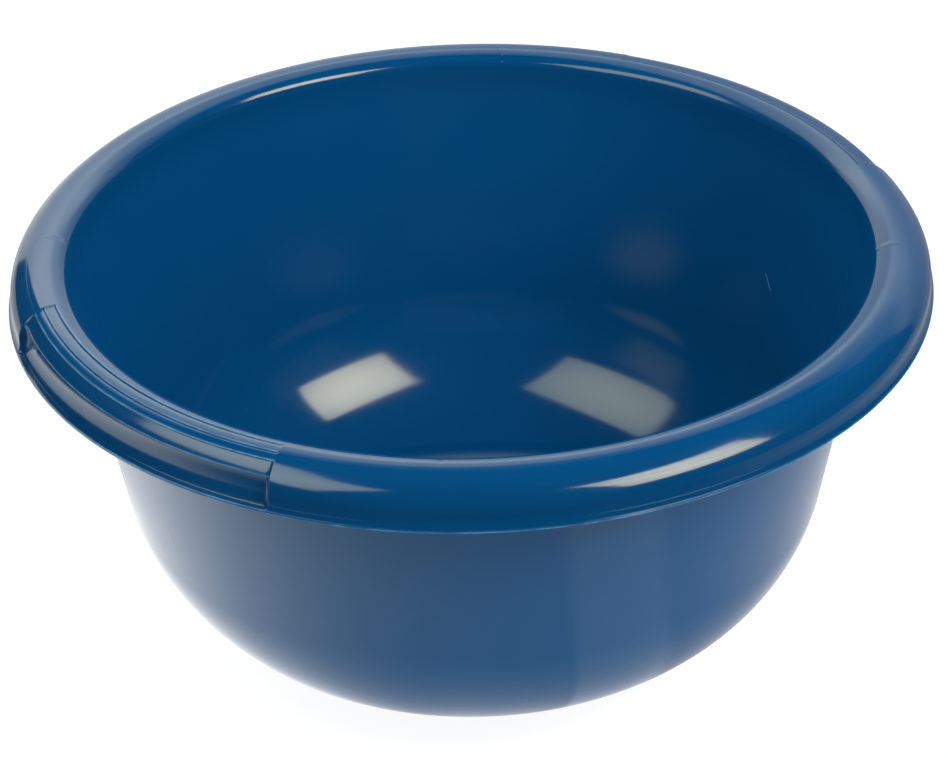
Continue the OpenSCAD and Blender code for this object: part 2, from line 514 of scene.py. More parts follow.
# What a tree makes of an object. The tree's inputs are set through their identifiers
def treeMesh(made, tree, **values):
    modifier = made.modifiers.new(tree.name, "NODES")
    modifier.node_group = tree
    for socket in tree.interface.items_tree:
        key = socket.name.replace(" ", "").lower()
        if socket.item_type == "SOCKET" and socket.in_out == "INPUT" and key in values:
            modifier[socket.identifier] = values[key]
    made.data.update()
    made.update_tag()
    graph = bpy.context.evaluated_depsgraph_get()
    graph.update()
    mesh = bpy.data.meshes.new_from_object(made.evaluated_get(graph))
    made.modifiers.clear()
    return mesh


lathe = turnedTree()


# The grid of points, row by row, that the tree makes of a section in millimetres
def turned(plain, grips, spokes, shares, plasticName):
    def place(line):
        return np.stack([line[:, 0], 0 * line[:, 0], line[:, 1]], -1) * mm

    section = pointsObject("sectionLine", plainPlace=place(plain), gripPlace=place(grips))
    spokeLine = pointsObject("spokeLine", turn=spokes, gripShare=shares)
    mesh = treeMesh(
        section, lathe, spokes=spokeLine, rows=len(plain), columns=len(spokes),
        plastic=materials[plasticName])
    points = np.empty(len(mesh.vertices) * 3, np.float32)
    mesh.vertices.foreach_get("co", points)
    for used in (section, spokeLine):
        bpy.data.objects.remove(used)
    bpy.data.meshes.remove(mesh)
    return points.reshape(len(plain), len(spokes), 3).astype(float)


# Exact normals of the turned surface, so that its rows and columns don't show in the gloss
def surfaceNormals():
    turn = np.radians(angles)
    w, dw = share[None, :, None], shareStep[None, :, None]
    line = plainSection[:, None] * (1 - w) + gripSection[:, None] * w
    step = plainSpeed[:, None] * (1 - w) + gripSpeed[:, None] * w
    shift = (gripSection - plainSection)[:, None] * dw
    outwards = np.stack([np.cos(turn), np.sin(turn), 0 * turn], -1)[None]
    around = np.stack([-np.sin(turn), np.cos(turn), 0 * turn], -1)[None]
    up = np.array([0, 0, 1.0])
    along = step[..., :1] * outwards + step[..., 1:] * up
    across = line[..., :1] * around + shift[..., :1] * outwards + shift[..., 1:] * up
    around = np.broadcast_to(around, along.shape)
    normal = np.cross(along, across)
    flat = np.linalg.norm(normal, axis=-1) < 1e-9
    normal[flat] = np.cross(along, around)[flat]
    return unit(normal), unit(along), around


# Tips the gloss of the plain rim's outer side a little upwards
def leanBack(normals, along):
    away = plainSection - archC
    lean = smoothThrough(bowl["archLean"], np.degrees(np.arctan2(away[:, 0], away[:, 1])))
    amount = np.tan(np.radians(lean))
    amount[:rowAt["roll"]] = amount[rowAt["lipEdge"] + 1:] = 0
    return unit(normals - along * (amount[:, None] * (1 - share)[None])[..., None])


# Shallow dents where the webs under the rim have drawn the surface in
def pressSinkMarks(points, normals, along, around):
    length, width = sinkMarks["length"], sinkMarks["width"]
    radius = np.hypot(points[..., 0], points[..., 1]) / mm
    outwards = points[..., :2] / mm / np.maximum(radius, 1e-6)[..., None]
    radial = np.sum(along[..., :2] * outwards, -1)
    u = radius - sinkMarks["radius"]
    for angle in sinkMarks["angles"]:
        v = np.radians((angles[None, :] - angle + 180) % 360 - 180) * radius
        dent = sinkMarks["depth"] * np.exp(-0.5 * ((u / length) ** 2 + (v / width) ** 2))
        dent[:rowAt["roll"]] = dent[rowAt["outerFace"]:] = 0
        points = points - normals * (dent * mm)[..., None]
        # the slope of the dent tips the normals
        slopeU, slopeV = -u / length ** 2 * dent, -v / width ** 2 * dent
        normals = normals + along * (slopeU * radial)[..., None] + around * slopeV[..., None]
    return points, unit(normals)


# 1 on an edge that stands out with a radius under a millimetre, 0 on a flat or wide curve
def sharpness(line, sign=1, spread=3, low=0.35, run=1.0):
    step = np.gradient(line, axis=0)
    length = np.maximum(np.linalg.norm(step, axis=1), 1e-9)
    turn = -np.gradient(np.unwrap(np.arctan2(step[:, 1], step[:, 0]))) / length
    near = np.exp(-0.5 * (np.arange(-3 * spread, 3 * spread + 1) / spread) ** 2)
    turn = sign * np.convolve(turn, near / near.sum(), "same")
    t = np.clip((turn - low) / run, 0, 1)
    return (t * t * (3 - 2 * t))[stationRows][:, None]


def noiseNode(tree, place, scale, detail=2.0, roughness=0.5, distortion=0.0):
    inputs = {"Vector": place, "Scale": scale, "Detail": detail, "Roughness": roughness}
    inputs["Distortion"] = distortion
    return addNode(tree, "ShaderNodeTexNoise", inputs).outputs["Fac"]


def rangeNode(tree, value, low, high, toLow=0.0, toHigh=1.0, kind="SMOOTHSTEP"):
    inputs = {"Value": value, "From Min": low, "From Max": high, "To Min": toLow, "To Max": toHigh}
    return addNode(tree, "ShaderNodeMapRange", inputs, interpolation_type=kind).outputs["Result"]


def chosen(tree, test, no, yes):
    inputs = {0: test, 2: no, 3: yes}
    return addNode(tree, "ShaderNodeMix", inputs, data_type="FLOAT").outputs[0]


def mixedColour(tree, share, first, second):
    inputs = {"Factor": share, 6: first, 7: second}
    return addNode(tree, "ShaderNodeMix", inputs, data_type="RGBA").outputs[2]


def objectPlace(tree, scale=(1, 1, 1), turn=(0, 0, 0), shift=(0, 0, 0)):
    place = addNode(tree, "ShaderNodeTexCoord").outputs["Object"]
    inputs = {"Vector": place, "Scale": scale, "Rotation": turn, "Location": shift}
    return addNode(tree, "ShaderNodeMapping", inputs).outputs["Vector"]


# A place's x, y and z, its distance from the axis, and how much of its direction points to each
# angle round the bowl, -1 to 1
def sideways(tree, place, *angles):
    calc = partial(mathNode, tree)
    x, y, z = addNode(tree, "ShaderNodeSeparateXYZ", {0: place}).outputs
    away = calc("SQRT", calc("ADD", calc("MULTIPLY", x, x), calc("MULTIPLY", y, y)))
    held = calc("MAXIMUM", away, 0.001)
    shares = []
    for a in angles:
        towards = calc("MULTIPLY_ADD", x, math.cos(a), calc("MULTIPLY", y, math.sin(a)))
        shares.append(calc("DIVIDE", towards, held))
    return (x, y, z), away, shares


# shader node groups, each built once and placed in a material with its own values
def shaderGroup(name, inputs, *outputs):
    tree, given, out = nodeGroup("ShaderNodeTree", name, inputs, {key: "Float" for key in outputs})
    return tree, given, out, partial(mathNode, tree)


# heights between which the painted light and shade change the plastic's tone, and for the lip the
# radii, in metres
toneEdges = {
    "wall": (0.06, 0.135),
    "rim": (0.148, 0.166),
    "lip": (0.171, 0.178),
}


# Pigment that isn't mixed in quite evenly. The tones by height and radius are painted light and
# shade: lighter up the wall and darker over the rim; towards the lip the tone drops further
def buildMottle():
    tree, given, out, calc = shaderGroup("pigmentMottleAndPaintedLight", {
        "Scale": 30.0, "Amount": 0.05, "Wall Painted Light": 1.1, "Rim Painted Shade": 0.9, "Lip Tone": 0.8}, "Tone")
    cloud = noiseNode(tree, objectPlace(tree), given["Scale"], 3.0, 0.55, 0.4)
    (x, y, z), away, _ = sideways(tree, objectPlace(tree))
    wall = rangeNode(tree, z, *toneEdges["wall"], 1.0, given["Wall Painted Light"])
    rim = rangeNode(tree, away, *toneEdges["lip"], given["Rim Painted Shade"], given["Lip Tone"])
    tone = chosen(tree, rangeNode(tree, z, *toneEdges["rim"]), wall, rim)
    tone = chosen(tree, rangeNode(tree, away, *toneEdges["lip"]), tone, rim)
    clouds = calc("MULTIPLY_ADD", calc("SUBTRACT", cloud, 0.5), given["Amount"], 1.0)
    tree.links.new(calc("MULTIPLY", clouds, tone), out["Tone"])
    return tree


# Gloss that varies from place to place: broad clouds and a fine bloom
def buildHaze():
    tree, given, out, calc = shaderGroup(
        "glossHaze", {"Scale": 22.0, "Low": 0.11, "High": 0.17}, "Roughness")
    broad = noiseNode(tree, objectPlace(tree), given["Scale"], 3.0, 0.6)
    fine = noiseNode(tree, objectPlace(tree, shift=(0.3, 0.1, 0.7)), 900.0, 2.0, 0.6)
    both = calc("MULTIPLY_ADD", fine, 0.35, calc("MULTIPLY", broad, 0.65))
    rough = rangeNode(tree, both, 0.35, 0.65, given["Low"], given["High"])
    tree.links.new(rough, out["Roughness"])
    return tree


# The slight unevenness of a moulded skin: slow waves, and a grain too fine to see one by one
def buildSkin():
    tree, given, out, calc = shaderGroup(
        "mouldedSkin", {"Wave Scale": 35.0, "Waves": 0.00002, "Grain": 0.0000006}, "Height")
    place = objectPlace(tree, shift=(0.11, 0.23, 0.37))
    slow = noiseNode(tree, place, given["Wave Scale"], 1.5, 0.4)
    grain = calc("MULTIPLY", noiseNode(tree, objectPlace(tree), 2600.0), given["Grain"])
    tree.links.new(calc("MULTIPLY_ADD", slow, given["Waves"], grain), out["Height"])
    return tree


# Hair-fine scuffs in two directions, broken up into short runs
def buildScuffs():
    tree, given, out, calc = shaderGroup("fineScuffs", {"Density": 1.0, "Seed": 0.0}, "Mask")
    masks = []
    for turn, stretch in (((0.3, 0.2, 0.5), (150, 900, 900)), ((1.2, 0.7, 2.1), (900, 130, 900))):
        inputs = {0: objectPlace(tree, scale=stretch, turn=turn), 1: given["Seed"]}
        moved = addNode(tree, "ShaderNodeVectorMath", inputs, operation="ADD").outputs[0]
        hair = noiseNode(tree, moved, 1.0, 0.0, 0.5, 0.15)
        near = calc("ABSOLUTE", calc("SUBTRACT", hair, 0.5))
        runs = noiseNode(tree, objectPlace(tree, shift=turn), 60.0, 1.0)
        line = rangeNode(tree, near, 0.0, 0.008, 1.0, 0.0)
        masks.append(calc("MULTIPLY", line, rangeNode(tree, runs, 0.6, 0.7)))
    tree.links.new(calc("MULTIPLY", calc("MAXIMUM", *masks), given["Density"]), out["Mask"])
    return tree


# Edges rubbed dull and a little paler, partly wear and partly painted highlight, and painted shade
# in the grooves, from the masks kept on the mesh
def buildEdgeWear():
    tree, given, out, calc = shaderGroup(
        "edgeWear", {"Amount": 0.6, "Break Up": 130.0}, "Mask", "Groove")
    sharp, groove = (
        addNode(tree, "ShaderNodeAttribute", attribute_type="GEOMETRY", attribute_name=name)
        .outputs["Fac"] for name in ("edge", "groove"))
    tree.links.new(groove, out["Groove"])
    patches = noiseNode(tree, objectPlace(tree), given["Break Up"], 3.0, 0.6)
    worn = calc("MULTIPLY", sharp, rangeNode(tree, patches, 0.3, 0.7, 0.35, 1.0))
    tree.links.new(calc("MULTIPLY", worn, given["Amount"]), out["Mask"])
    return tree


# One short scratch, given by its two ends in metres
def buildNick():
    tree, given, out, calc = shaderGroup(
        "singleScratch", {"Start": "Vector", "End": "Vector", "Width": 0.0003}, "Mask")

    def vectorNode(operation, inputs, result="Vector"):
        node = addNode(tree, "ShaderNodeVectorMath", inputs, operation=operation)
        return node.outputs[result]

    run = vectorNode("SUBTRACT", {0: given["End"], 1: given["Start"]})
    here = vectorNode("SUBTRACT", {0: objectPlace(tree), 1: given["Start"]})
    along = calc("DIVIDE", *(
        vectorNode("DOT_PRODUCT", {0: place, 1: run}, "Value") for place in (here, run)))
    held = calc("MINIMUM", calc("MAXIMUM", along, 0.0), 1.0)
    nearest = vectorNode("SCALE", {0: run, "Scale": held})
    off = vectorNode("LENGTH", {0: vectorNode("SUBTRACT", {0: here, 1: nearest})}, "Value")
    tree.links.new(rangeNode(tree, off, 0.0, given["Width"], 1.0, 0.0), out["Mask"])
    return tree


groups = {
    "mottle": buildMottle(), "haze": buildHaze(), "skin": buildSkin(),
    "scuffs": buildScuffs(), "wear": buildEdgeWear(), "nick": buildNick(),
}


# A group in a material, with its inputs given in their order
def placed(tree, group, *values):
    node = addNode(tree, "ShaderNodeGroup", dict(enumerate(values)), node_tree=groups[group])
    return node.outputs[0] if len(node.outputs) == 1 else list(node.outputs)


plastic = {
    "blue": (0.0009, 0.0612, 0.176),
    "ior": 1.49,
    "sheenTint": (0.95, 1.0, 0.67, 1.0),   # the gloss of this blue reads a little warm
    # the mottle's last three values paint light up the wall and shade over the rim, and set the
    # tone towards the lip
    "mottle": (26.0, 0.10, 1.14, 0.95, 0.8),
    "wear": (0.62, 120.0),
    "wallHaze": (0.05, 0.1, 0.0, 0.08),    # inside the bowl, more from one height to another
}

# marks on the plastic: their colour, how strongly they take it, and how much roughness they add
surfaceMarks = {
    # the pale edge colour is partly wear and partly painted highlight on sharp edges and along the
    # lip
    "worn": ((0.1, 0.34, 0.58, 1.0), 1.0, 0.12),
    "scuff": ((0.1, 0.34, 0.58, 1.0), 0.12, 0.16),
    # the dark groove colour is painted shade in the grips' creases
    "groove": ((0.0003, 0.012, 0.04, 1.0), 0.55, 0.2),
    "nick": ((0.12, 0.3, 0.5, 1.0), 1.0, 0.3),
}

# each region's own finish: the haze's scale with its lowest and highest roughness, the skin's wave
# scale with the heights of waves and grain in metres, and the scuffs' density and seed
finishes = {
    "insideBlue": ((18.0, 0.08, 0.12), (30.0, 0.00003, 0.0000005), (0.5, 2.0)),
    "floorBlue": ((24.0, 0.075, 0.12), (34.0, 0.00003, 0.0000006), (1.0, 5.0)),
    "rimBlue": ((30.0, 0.08, 0.12), (45.0, 0.000018, 0.0000005), (0.6, 9.0)),
    "gripBlue": ((30.0, 0.12, 0.17), (45.0, 0.000016, 0.0000006), (0.7, 13.0)),
    "footBlue": ((40.0, 0.22, 0.36), (60.0, 0.00002, 0.0000012), (1.6, 17.0)),
    "webBlue": ((40.0, 0.16, 0.24), (60.0, 0.00001, 0.0000008), (0.3, 21.0)),
}

# the one scratch that shows, on the inside of the wall: its ends and its width
nick = ((0.1426, -0.02523, 0.10434), (0.14069, -0.03007, 0.09914), 0.0004)


# Glossy blue polypropylene
def bluePlastic(name, haze, skin, scuffs):
    made = bpy.data.materials.new(name)
    made.use_nodes = True
    made.diffuse_color = (*plastic["blue"], 1)
    tree = made.node_tree
    shader = tree.nodes["Principled BSDF"].inputs
    shader["IOR"].default_value = plastic["ior"]
    shader["Specular Tint"].default_value = plastic["sheenTint"]
    inputs = {0: plastic["blue"], "Scale": placed(tree, "mottle", *plastic["mottle"])}
    colour = addNode(tree, "ShaderNodeVectorMath", inputs, operation="SCALE").outputs[0]
    rough = placed(tree, "haze", *haze)
    # pale edges are wear and painted highlight, the groove mask painted shade
    worn, groove = placed(tree, "wear", *plastic["wear"])
    masks = {"worn": worn, "scuff": placed(tree, "scuffs", *scuffs), "groove": groove}
    if name == "insideBlue":
        (x, y, z), _, _ = sideways(tree, objectPlace(tree))
        rough = mathNode(tree, "ADD", rough, rangeNode(tree, z, *plastic["wallHaze"]))
        masks["nick"] = placed(tree, "nick", *nick)
    for key, mask in masks.items():
        second, strength, dull = surfaceMarks[key]
        colour = mixedColour(tree, mathNode(tree, "MULTIPLY", mask, strength), colour, second)
        rough = mathNode(tree, "MULTIPLY_ADD", mask, dull, rough)
    inputs = {"Strength": 1.0, "Distance": 1.0, "Height": placed(tree, "skin", *skin)}
    bump = addNode(tree, "ShaderNodeBump", inputs).outputs["Normal"]
    for key, socket in (("Base Color", colour), ("Roughness", rough), ("Normal", bump)):
        tree.links.new(socket, shader[key])
    return made


materials = {name: bluePlastic(name, *values) for name, values in finishes.items()}
print("plastics mixed:", ", ".join(materials))


# the moulding, turned as one and then parted into its regions
angles = spokeAngles()
share = gripShare(angles)
shareStep = (gripShare(angles + 0.002) - gripShare(angles - 0.002)) / math.radians(0.004)
grid = turned(plainSection, gripSection, angles, share, "rimBlue")
normals, along, around = surfaceNormals()
grid, normals = pressSinkMarks(grid, leanBack(normals, along), along, around)

# the pale line along the lip's corner is a painted highlight
lipPaintedGlow = 0.45         # mm from the lip's corner
lipDistance = np.linalg.norm(plainSection - np.array([outerR, lipZ]), axis=1)[:, None]
# the pale edge mark: wear, and painted highlight on the grips' step edges and along the lip
edgeMask = sharpness(plainLine) * (1 - share) + sharpness(gripLine) * share
edgeMask = np.maximum(edgeMask, np.exp(-0.5 * (lipDistance / lipPaintedGlow) ** 2))
# the grooves' dark colour is painted shade along the grips' creases
grooveMask = sharpness(gripLine, -1, 8, 0.15, 0.5) * share
grooveMask[:rowAt["roll"]] = grooveMask[rowAt["shoulder"] + 2:] = 0
print("moulding turned:", grid.shape[0], "rows,", grid.shape[1], "spokes")


# A closed piece: blocks of the grid as (first row, last row, spokes), and caps as loops of corners.
# The gloss follows the whole moulding's normals, so that nothing shows where two pieces meet
def gridPiece(name, blocks, caps, plasticName, wear=1.0, grooveShade=0.0):
    rows, columns = grid.shape[:2]
    used, faces, corners = {}, [], []

    def vertex(i, j):
        key = (i, 0 if i in (0, rows - 1) else j % columns)
        return used.setdefault(key, len(used))

    for first, last, spokes in blocks:
        for i in range(first, last):
            for j in spokes:
                quad = [(i, j), (i + 1, j), (i + 1, j + 1), (i, j + 1)]
                ids = [vertex(*corner) for corner in quad]
                keep = [k for k in range(4) if ids[k] not in ids[:k]]
                faces.append([ids[k] for k in keep])
                corners += [normals[quad[k][0], quad[k][1] % columns] for k in keep]
    shownFaces = len(faces)
    faces += [[vertex(*corner) for corner in loop] for loop in caps]
    mesh = bpy.data.meshes.new(name)
    mesh.from_pydata([grid[key] for key in used], [], faces)
    mesh.polygons.foreach_set("use_smooth", [True] * len(faces))
    for face in list(mesh.polygons)[shownFaces:]:
        face.use_smooth = False
        corners += [face.normal] * len(face.vertices)
    # the edge mask carries wear and painted highlight, the groove mask painted shade
    for key, values in (("edge", edgeMask * wear), ("groove", grooveMask * grooveShade)):
        attribute = mesh.attributes.new(key, "FLOAT", "POINT")
        attribute.data.foreach_set("value", np.array([values[k] for k in used], np.float32))
    mesh.normals_split_custom_set([tuple(corner) for corner in corners])
    mesh.materials.append(materials[plasticName])
    return addObject(name, mesh)


# Quads from one row of the grid to another, where a piece meets the next
def capBetween(one, other, spokes):
    return [[(one, j + 1), (one, j), (other, j), (other, j + 1)] for j in spokes]


# A region that goes all the way round. Inside and outside it runs from one stretch to another
def roundPiece(name, inside, outside, plasticName):
    spokes = range(len(angles))
    (first, last), (back, end) = ([rowAt[key] for key in pair] for pair in (inside, outside))
    caps = capBetween(end, first, spokes) if first > 0 else []
    caps += capBetween(last, back, spokes)
    return gridPiece(name, [(first, last, spokes), (back, end, spokes)], caps, plasticName)


# A region of the rim, from one angle to another
def rimPiece(name, start, end, plasticName, wear=1.0, grooveShade=0.0):
    near = [np.abs((angles - a + 180) % 360 - 180) for a in (start % 360, end % 360)]
    left, right = (int(np.argmin(distance)) for distance in near)
    spokes = range(left, right if right > left else right + len(angles))
    first, last = rowAt["wallTop"], rowAt["wallOutside"]
    caps = capBetween(last, first, spokes)
    caps.append([(i, spokes[0]) for i in range(last, first - 1, -1)])
    caps.append([(i, spokes[-1] + 1) for i in range(first, last + 1)])
    return gridPiece(name, [(first, last, spokes)], caps, plasticName, wear, grooveShade)


half = grip["span"] / 2
shown = {
    "bowl_floor": roundPiece(
        "bowlFloor", ("floor", "bottomCurve"), ("floorOutside", "end"), "floorBlue"),
    "bottom_curve": roundPiece(
        "bottomCurve", ("bottomCurve", "sideWall"), ("curveOutside", "floorOutside"), "insideBlue"),
    "side_wall": roundPiece(
        "sideWall", ("sideWall", "wallTop"), ("wallOutside", "curveOutside"), "insideBlue"),
    "front_rim": rimPiece("frontRim", 180 + half, 360 - half, "rimBlue"),
    "back_rim": rimPiece("backRim", half, 180 - half, "rimBlue"),
    # the grips' grooves get painted shade, more on the right grip, whose pale edges get less wear
    # and painted highlight
    "left_grip": rimPiece("leftGrip", 180 - half, 180 + half, "gripBlue", grooveShade=0.6),
    "right_grip": rimPiece("rightGrip", 360 - half, half, "gripBlue", wear=0.15, grooveShade=1.8),
}
print("moulding parted:", ", ".join(piece.name for piece in shown.values()))


foot = {
    "edge": 0.6,           # rounding of the edges that it stands on, mm
    "edgeGap": 0.12,       # between the rows of an edge, of a side and of the sole
    "sideGap": 0.5,
    "soleGap": 0.6,
    "topRows": 5,
    "wear": 0.6,
    "spokeStep": 1.5,      # degrees
    "sharpAngle": math.radians(40),
}


def underZ(radius):
    if radius <= cornerX:
        return bowl["footHeight"]
    return cornerZ - math.sqrt(cornerR ** 2 - (radius - cornerX) ** 2)


# The ring that the bowl stands on, turned by the same tree
def footRing():
    outer, inner = bowl["footRadius"], bowl["footRadius"] - bowl["footWidth"]
    edge, edgeGap, sideGap = foot["edge"], foot["edgeGap"], foot["sideGap"]
    line = joined(
        np.array([[r, underZ(r)] for r in np.linspace(outer, inner, foot["topRows"])]),
        linePoints((inner, underZ(inner)), (inner, edge), sideGap),
        arcPoints((inner + edge, edge), edge, -quarter, -math.pi, edgeGap),
        linePoints((inner + edge, 0), (outer - edge, 0), foot["soleGap"]),
        arcPoints((outer - edge, edge), edge, math.pi, quarter, edgeGap),
        linePoints((outer, edge), (outer, underZ(outer)), sideGap),
    )
    spokes = np.arange(0, 360, foot["spokeStep"])
    ring = turned(line, line, spokes, 0 * spokes, "footBlue")[:-1]
    rows, columns = ring.shape[:2]
    here = np.arange(rows * columns).reshape(rows, columns)
    below = np.roll(here, -1, 0)
    faces = np.stack([here, np.roll(here, -1, 1), np.roll(below, -1, 1), below], -1).reshape(-1, 4)
    mesh = bpy.data.meshes.new("footRing")
    mesh.from_pydata(ring.reshape(-1, 3), [], faces.tolist())
    bends = np.linalg.norm(np.diff(line, axis=0), axis=1) < (edgeGap + sideGap) / 3
    worn = np.repeat(np.append(bends, False)[:rows] * foot["wear"], columns).astype(np.float32)
    mesh.attributes.new("edge", "FLOAT", "POINT").data.foreach_set("value", worn)
    mesh.polygons.foreach_set("use_smooth", [True] * len(faces))
    mesh.set_sharp_from_angle(angle=foot["sharpAngle"])
    mesh.materials.append(materials["footBlue"])
    return addObject("footRing", mesh)


shown["foot_ring"] = footRing()
print("foot ring turned")


web = {
    "count": 4,
    "firstAngle": 45.0,
    "thickness": 2.0,
    "drop": 4.0,
    "edge": 0.35,
    "archStep": math.radians(8),
}


# One web at angle 0, with its free lower edge rounded
def webMesh():
    low = archC[1] - web["drop"]
    skinR = rootOut[0] + (low - rootOut[1]) * math.tan(draft)
    arch = coarseArc(archC, underR, quarter, underStart, web["archStep"])
    outline = np.vstack([(skinR, low), arch])
    free = unit(outline[1] - outline[0])
    down = np.array([free[1], -free[0]])
    half, edge, count = web["thickness"] / 2, web["edge"], len(outline)
    vertices = []
    for side, lift in ((-half, edge), (edge - half, 0.0), (half - edge, 0.0), (half, edge)):
        points = outline.copy()
        points[:2] -= down * lift
        vertices += [(x * mm, side * mm, z * mm) for x, z in points]
    faces = [list(range(count)), list(range(4 * count - 1, 3 * count - 1, -1))]
    for k in range(0, 3 * count, count):
        for i in range(count):
            j = (i + 1) % count
            faces.append([k + i, k + count + i, k + count + j, k + j])
    mesh = bpy.data.meshes.new("oneWeb")
    mesh.from_pydata(vertices, [], faces)
    return mesh


# Places copies of a shape round the Z axis
def aroundTree():
    tree, given, out = nodeGroup("GeometryNodeTree", "setRound", {
        "Geometry": "Geometry", "Count": 4, "First Angle": 0.0, "Plastic": "Material",
    }, {"Geometry": "Geometry"})
    points = addNode(tree, "GeometryNodePoints", {"Count": given["Count"]}).outputs[0]
    index = addNode(tree, "GeometryNodeInputIndex").outputs[0]
    step = mathNode(tree, "DIVIDE", 360.0, given["Count"])
    angle = mathNode(tree, "MULTIPLY_ADD", index, step, given["First Angle"])
    turn = addNode(tree, "ShaderNodeCombineXYZ", {"Z": mathNode(tree, "RADIANS", angle)}).outputs[0]
    inputs = {"Points": points, "Instance": given["Geometry"], "Rotation": turn}
    copies = addNode(tree, "GeometryNodeInstanceOnPoints", inputs).outputs[0]
    return endTree(tree, copies, given["Plastic"], out)


def rimWebs():
    made = addObject("rimWebs", webMesh())
    oneWeb = made.data
    made.data = treeMesh(
        made, aroundTree(), count=web["count"], firstangle=web["firstAngle"],
        plastic=materials["webBlue"])
    bpy.data.meshes.remove(oneWeb)
    made.data.name = "rimWebs"
    made.data.attributes.new("edge", "FLOAT", "POINT")
    return made


shown["rim_webs"] = rimWebs()
print("webs set round the rim")

for node, piece in shown.items():
    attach(piece, "root")
    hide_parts(node)


# the studio: white paper below and behind, two soft boxes, and a dark room behind the camera
studio = {
    "backAngle": math.radians(48.5),
    "room": 0.02,
    "fill": (0.15, 0.6),       # of the dark side and of the bright side
    "boxFade": (-1.1, 1.06),   # a box is brightest in its middle
    "boxFoot": 0.08,
    "boxes": {
        "leftBox": dict(
            distance=1.69, angle=-78.0, height=41.9, width=1.0, length=0.78, roll=-1.6,
            radiance=12.6, colour=(1.0, 0.9, 0.94)),
        "rightBox": dict(
            distance=1.78, angle=163.5, height=46.9, width=1.39, length=0.93, roll=8.3,
            radiance=4.5, colour=(0.97, 0.97, 1.0)),
    },
}

# the paper that the bowl stands on. Directions are angles round the bowl, distances from its axis
floor = {
    "size": 7.0,
    "directions": dict(left=150, back=95, right=-30, laneLeft=-90, laneRight=-120),
    "byLeft": (
        (-1, 0.86), (-0.9, 0.74), (-0.7, 0.58), (0.0, 0.47), (0.3, 0.56), (0.5, 0.69), (0.8, 1.21),
        (1.0, 1.84)),
    "ahead": (0.2, 0.43, 1.0, 0.02),           # in front the paper ends soon
    "beside": ((0.2, 1.0), (0.55, 0.5), (1.3, 0.42), (2.0, 0.03)),   # to the right it goes on
    "besideFrom": (0.5, 0.8),
    "backFrom": (0.0, 0.5),
    "laneLeft": (0.929, 0.939),                # a lighter lane to the right of the camera
    "laneRight": (0.82, 0.88, 0.0, 0.28),
    "foot": (0.1, 0.19, 0.5, 0.0),             # more light close to the foot
    "footSides": ((0.2, 0.5, 1.0, 0.0), (-0.3, 0.1)),
    "lift": (0.2, 0.45, 0.95, 0.0),
    "paper": 0.6,
    "shownGlow": 0.93,
    "shownPaper": 0.15,
}

# the paper behind: distance from the axis and height down its middle, and its light
panel = {
    "sides": (-0.95, 0.475),
    "line": ((0.48, 0.0), (0.48, 0.62), (0.22, 1.0)),
    "lowAcross": (
        (-0.95, 0.2), (-0.515, 0.4), (-0.3, 0.42), (-0.08, 0.55), (0.0, 0.74), (0.15, 1.0),
        (0.475, 1.0)),
    "highAcross": (
        (-0.95, 0.2), (-0.515, 0.35), (-0.3, 0.5), (-0.1, 0.93), (0.0, 1.0), (0.3, 1.0),
        (0.475, 1.0)),
    "highFrom": (0.4, 0.5),
    "upwards": (
        (0.0, 1.15), (0.25, 1.15), (0.4, 1.78), (0.5, 2.6), (0.57, 1.9), (0.64, 1.6), (0.76, 1.4),
        (0.83, 0.5), (0.87, 0.0), (1.0, 0.0)),
}

camera = {
    "lens": 123.495,
    "sensor": 36.0,
    "distance": 1.26666,
    "angle": math.radians(-131.5),
    "elevation": math.radians(29.1337),
    "yaw": math.radians(-0.01324),
    "pitch": math.radians(-2.42697),
    "roll": math.radians(1.48919),
    "clip": (0.05, 50.0),
}


def directionAt(angle, elevation):
    level = math.cos(elevation)
    return Vector((level * math.cos(angle), level * math.sin(angle), math.sin(elevation)))


def stand(made, place, axes):
    made.matrix_world = Matrix.Translation(place) @ Matrix(axes).transposed().to_4x4()


def makeCamera():
    data = bpy.data.cameras.new("photoCamera")
    data.lens, data.sensor_width, data.sensor_fit = camera["lens"], camera["sensor"], "HORIZONTAL"
    data.clip_start, data.clip_end = camera["clip"]
    made = addObject("photoCamera", data)
    away = directionAt(camera["angle"], camera["elevation"])
    right = Vector((0, 0, 1)).cross(away).normalized()
    axes = {"pitch": right, "yaw": away.cross(right), "roll": -away}
    for name in ("yaw", "pitch", "roll"):
        spin = Quaternion(axes[name], camera[name])
        axes = {key: spin @ axis for key, axis in axes.items()}
    place = away * camera["distance"] + Vector((0, 0, mouthZ * mm))
    stand(made, place, (axes["pitch"], axes["yaw"], -axes["roll"]))
    bpy.context.scene.camera = made


def softBox(name, distance, angle, height, width, length, roll, radiance, colour):
    data = bpy.data.lights.new(name, "AREA")
    data.use_nodes = True
    tree = data.node_tree
    calc = partial(mathNode, tree)
    place = addNode(tree, "ShaderNodeNewGeometry").outputs["Parametric"]
    u, v, _ = addNode(tree, "ShaderNodeSeparateXYZ", {0: place}).outputs
    u, v = calc("SUBTRACT", u, 0.5), calc("SUBTRACT", v, 0.5)
    off = calc("MULTIPLY_ADD", u, u, calc("MULTIPLY", v, v))
    strength = calc("MULTIPLY_ADD", off, *studio["boxFade"])
    tree.links.new(strength, tree.nodes["Emission"].inputs["Strength"])
    data.color = colour
    data.shape = "RECTANGLE"
    data.size, data.size_y = width, length
    data.energy = radiance * math.pi * width * length
    made = addObject(name, data)
    angle, height, roll = (math.radians(value) for value in (angle, height, roll))
    away = directionAt(angle, height)
    across = directionAt(angle + quarter, 0)
    up = away.cross(across)
    level, tilt = math.cos(roll), math.sin(roll)
    axes = (across * level + up * tilt, up * level - across * tilt, away)
    stand(made, away * distance + Vector((0, 0, studio["boxFoot"])), axes)
    made.visible_camera = False


